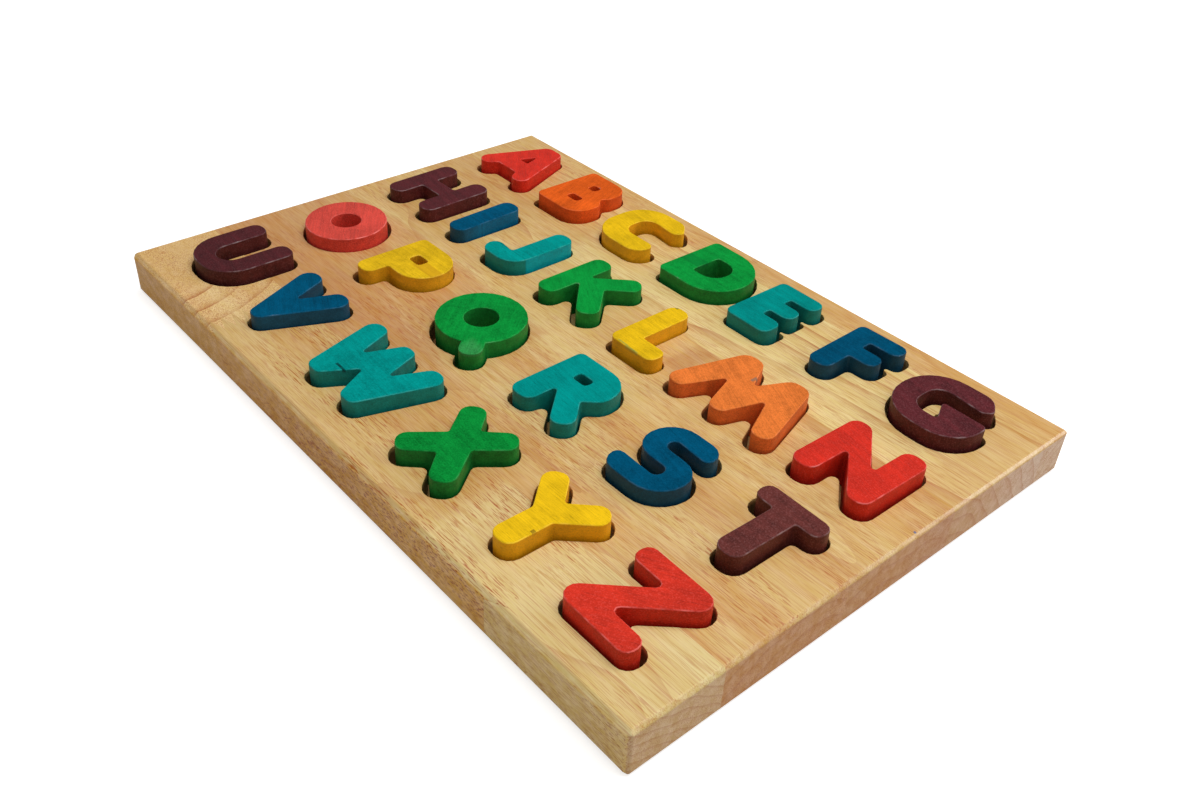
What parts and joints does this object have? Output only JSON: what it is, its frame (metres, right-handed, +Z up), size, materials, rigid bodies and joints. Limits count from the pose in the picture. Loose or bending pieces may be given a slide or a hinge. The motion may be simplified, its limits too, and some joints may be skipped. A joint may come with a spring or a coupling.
{
  "type": "capital letter puzzle",
  "caption": "Thick laminated wooden board with routed pockets that hold loose stained wooden capital letters in four rows; each letter stands proud of the board and lifts straight out.",
  "frame": {"origin": "centre of the board's underside", "axes": "+X along the rows of letters in reading direction, +Y up the page, +Z up out of the board"},
  "size_m": [0.42, 0.286, 0.033],
  "materials": {
    "pale_wood": "clear satin lacquer",
    "warm_wood": "clear satin lacquer",
    "red_stain": "stained, satin",
    "coral_stain": "stained, satin",
    "orange_stain": "stained, satin",
    "yellow_stain": "stained, satin",
    "green_stain": "stained, satin",
    "teal_stain": "stained, satin",
    "blue_stain": "stained, satin",
    "maroon_stain": "stained, satin"
  },
  "bodies": {
    "board": {"stave_1_back": "warm_wood", "stave_2": "pale_wood", "stave_3": "pale_wood", "stave_4": "warm_wood", "stave_5_front_left": "pale_wood", "stave_5_front_middle": "warm_wood", "stave_5_front_right": "pale_wood"},
    "letter A": {"letter_A": "red_stain"},
    "letter B": {"letter_B": "orange_stain"},
    "letter C": {"letter_C": "yellow_stain"},
    "letter D": {"letter_D": "green_stain"},
    "letter E": {"letter_E": "teal_stain"},
    "letter F": {"letter_F": "blue_stain"},
    "letter G": {"letter_G": "maroon_stain"},
    "letter H": {"letter_H": "maroon_stain"},
    "letter I": {"letter_I": "blue_stain"},
    "letter J": {"letter_J": "teal_stain"},
    "letter K": {"letter_K": "green_stain"},
    "letter L": {"letter_L": "yellow_stain"},
    "letter M": {"letter_M": "orange_stain"},
    "letter N": {"letter_N": "red_stain"},
    "letter O": {"letter_O": "coral_stain"},
    "letter P": {"letter_P": "yellow_stain"},
    "letter Q": {"letter_Q": "green_stain"},
    "letter R": {"letter_R": "teal_stain"},
    "letter S": {"letter_S": "blue_stain"},
    "letter T": {"letter_T": "maroon_stain"},
    "letter U": {"letter_U": "maroon_stain"},
    "letter V": {"letter_V": "blue_stain"},
    "letter W": {"letter_W": "teal_stain"},
    "letter X": {"letter_X": "green_stain"},
    "letter Y": {"letter_Y": "yellow_stain"},
    "letter Z": {"letter_Z": "red_stain"}
  },
  "joints": [
    {"name": "letter A lifts out", "type": "slide", "parent": "board", "child": "letter A", "axis": [0, 0, 1], "range_m": [0, 0.03]},
    {"name": "letter B lifts out", "type": "slide", "parent": "board", "child": "letter B", "axis": [0, 0, 1], "range_m": [0, 0.03]},
    {"name": "letter C lifts out", "type": "slide", "parent": "board", "child": "letter C", "axis": [0, 0, 1], "range_m": [0, 0.03]},
    {"name": "letter D lifts out", "type": "slide", "parent": "board", "child": "letter D", "axis": [0, 0, 1], "range_m": [0, 0.03]},
    {"name": "letter E lifts out", "type": "slide", "parent": "board", "child": "letter E", "axis": [0, 0, 1], "range_m": [0, 0.03]},
    {"name": "letter F lifts out", "type": "slide", "parent": "board", "child": "letter F", "axis": [0, 0, 1], "range_m": [0, 0.03]},
    {"name": "letter G lifts out", "type": "slide", "parent": "board", "child": "letter G", "axis": [0, 0, 1], "range_m": [0, 0.03]},
    {"name": "letter H lifts out", "type": "slide", "parent": "board", "child": "letter H", "axis": [0, 0, 1], "range_m": [0, 0.03]},
    {"name": "letter I lifts out", "type": "slide", "parent": "board", "child": "letter I", "axis": [0, 0, 1], "range_m": [0, 0.03]},
    {"name": "letter J lifts out", "type": "slide", "parent": "board", "child": "letter J", "axis": [0, 0, 1], "range_m": [0, 0.03]},
    {"name": "letter K lifts out", "type": "slide", "parent": "board", "child": "letter K", "axis": [0, 0, 1], "range_m": [0, 0.03]},
    {"name": "letter L lifts out", "type": "slide", "parent": "board", "child": "letter L", "axis": [0, 0, 1], "range_m": [0, 0.03]},
    {"name": "letter M lifts out", "type": "slide", "parent": "board", "child": "letter M", "axis": [0, 0, 1], "range_m": [0, 0.03]},
    {"name": "letter N lifts out", "type": "slide", "parent": "board", "child": "letter N", "axis": [0, 0, 1], "range_m": [0, 0.03]},
    {"name": "letter O lifts out", "type": "slide", "parent": "board", "child": "letter O", "axis": [0, 0, 1], "range_m": [0, 0.03]},
    {"name": "letter P lifts out", "type": "slide", "parent": "board", "child": "letter P", "axis": [0, 0, 1], "range_m": [0, 0.03]},
    {"name": "letter Q lifts out", "type": "slide", "parent": "board", "child": "letter Q", "axis": [0, 0, 1], "range_m": [0, 0.03]},
    {"name": "letter R lifts out", "type": "slide", "parent": "board", "child": "letter R", "axis": [0, 0, 1], "range_m": [0, 0.03]},
    {"name": "letter S lifts out", "type": "slide", "parent": "board", "child": "letter S", "axis": [0, 0, 1], "range_m": [0, 0.03]},
    {"name": "letter T lifts out", "type": "slide", "parent": "board", "child": "letter T", "axis": [0, 0, 1], "range_m": [0, 0.03]},
    {"name": "letter U lifts out", "type": "slide", "parent": "board", "child": "letter U", "axis": [0, 0, 1], "range_m": [0, 0.03]},
    {"name": "letter V lifts out", "type": "slide", "parent": "board", "child": "letter V", "axis": [0, 0, 1], "range_m": [0, 0.03]},
    {"name": "letter W lifts out", "type": "slide", "parent": "board", "child": "letter W", "axis": [0, 0, 1], "range_m": [0, 0.03]},
    {"name": "letter X lifts out", "type": "slide", "parent": "board", "child": "letter X", "axis": [0, 0, 1], "range_m": [0, 0.03]},
    {"name": "letter Y lifts out", "type": "slide", "parent": "board", "child": "letter Y", "axis": [0, 0, 1], "range_m": [0, 0.03]},
    {"name": "letter Z lifts out", "type": "slide", "parent": "board", "child": "letter Z", "axis": [0, 0, 1], "range_m": [0, 0.03]}
  ]
}
